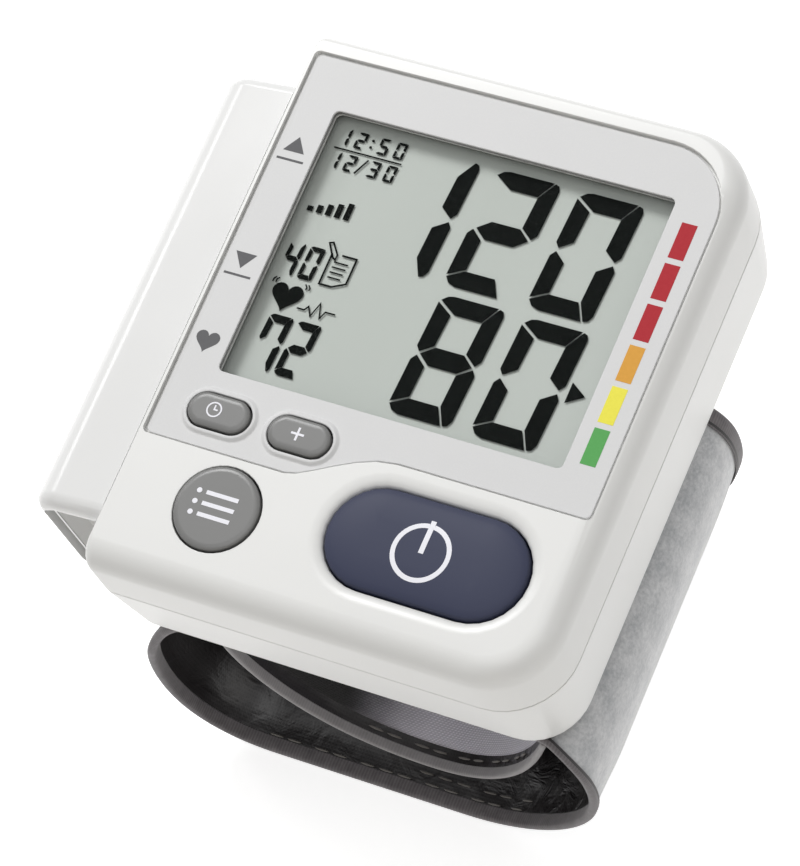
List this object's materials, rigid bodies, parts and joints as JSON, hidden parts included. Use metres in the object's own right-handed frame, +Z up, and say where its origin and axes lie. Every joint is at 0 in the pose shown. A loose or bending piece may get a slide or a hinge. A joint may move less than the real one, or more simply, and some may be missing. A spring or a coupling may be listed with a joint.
{
  "type": "wrist blood pressure monitor",
  "caption": "Wrist blood pressure monitor: flat housing with a digital display, push buttons and a side battery wing, standing on its wrapped fabric cuff.",
  "frame": {"origin": "centre of the footprint's bounding box, on the surface the cuff stands on", "axes": "+X to the right of the read-out, +Y to its top edge, +Z up out of the display"},
  "size_m": [0.074, 0.0776, 0.0666],
  "materials": {
    "housing_white": "moulded ABS, satin gloss",
    "panel_silver": "silver-grey overlay sheet, fine matte",
    "window_clear": "clear acrylic",
    "display_glass": "display glass, grey-green ground",
    "inner_plastic": "moulded",
    "connector_rubber": "layered conductive rubber",
    "board_green": "solder mask",
    "black_moulding": "moulded",
    "button_navy": "satin moulded",
    "button_grey": "satin moulded",
    "cell_wrap": "printed film sleeve",
    "contact_metal": "nickel plated",
    "steel_can": "drawn steel can",
    "screw_steel": "zinc plated",
    "tube_rubber": "silicone",
    "cuff_pile": "brushed loop pile with bound edges",
    "cuff_nylon": "coated nylon weave"
  },
  "bodies": {
    "base": {"upper_shell": "housing_white", "lower_shell": "housing_white", "cuff_clamp_plate": "housing_white", "face_panel": "panel_silver", "display_window": "window_clear", "lcd_glass": "display_glass", "lcd_frame": "inner_plastic", "air_manifold": "inner_plastic", "air_nipple": "inner_plastic", "lcd_connector_far": "connector_rubber", "lcd_connector_near": "connector_rubber", "main_board": "board_green", "controller_chip": "black_moulding", "buzzer": "black_moulding", "pump_head": "black_moulding", "pressure_sensor": "black_moulding", "battery_cell_upper": "cell_wrap", "battery_cell_lower": "cell_wrap", "battery_link_contact": "contact_metal", "battery_positive_contact": "contact_metal", "battery_negative_contact": "contact_metal", "pump_motor": "steel_can", "exhaust_valve": "steel_can", "pump_tube": "tube_rubber", "cuff_strap": "cuff_pile", "cuff_sleeve": "cuff_nylon", "power_switch": "black_moulding", "memory_switch": "black_moulding", "clock_switch": "black_moulding", "plus_switch": "black_moulding", "housing_screw_1": "screw_steel", "housing_screw_2": "screw_steel", "housing_screw_3": "screw_steel", "housing_screw_4": "screw_steel"},
    "power_cap": {"power_button": "button_navy", "power_plunger": "inner_plastic"},
    "memory_cap": {"memory_button": "button_grey", "memory_plunger": "inner_plastic"},
    "clock_cap": {"clock_button": "button_grey", "clock_plunger": "inner_plastic"},
    "plus_cap": {"plus_button": "button_grey", "plus_plunger": "inner_plastic"},
    "cover": {"battery_cover": "housing_white"}
  },
  "joints": [
    {"name": "power_press", "type": "slide", "parent": "base", "child": "power_cap", "axis": [0, 0, -1], "range_m": [0, 0.0006], "stiffness_N_per_m": 1500},
    {"name": "memory_press", "type": "slide", "parent": "base", "child": "memory_cap", "axis": [0, 0, -1], "range_m": [0, 0.0006], "stiffness_N_per_m": 1500},
    {"name": "clock_press", "type": "slide", "parent": "base", "child": "clock_cap", "axis": [0, 0, -1], "range_m": [0, 0.0006], "stiffness_N_per_m": 1500},
    {"name": "plus_press", "type": "slide", "parent": "base", "child": "plus_cap", "axis": [0, 0, -1], "range_m": [0, 0.0006], "stiffness_N_per_m": 1500},
    {"name": "cover_off", "type": "slide", "parent": "base", "child": "cover", "axis": [-1, 0, 0], "range_m": [0, 0.016]}
  ]
}
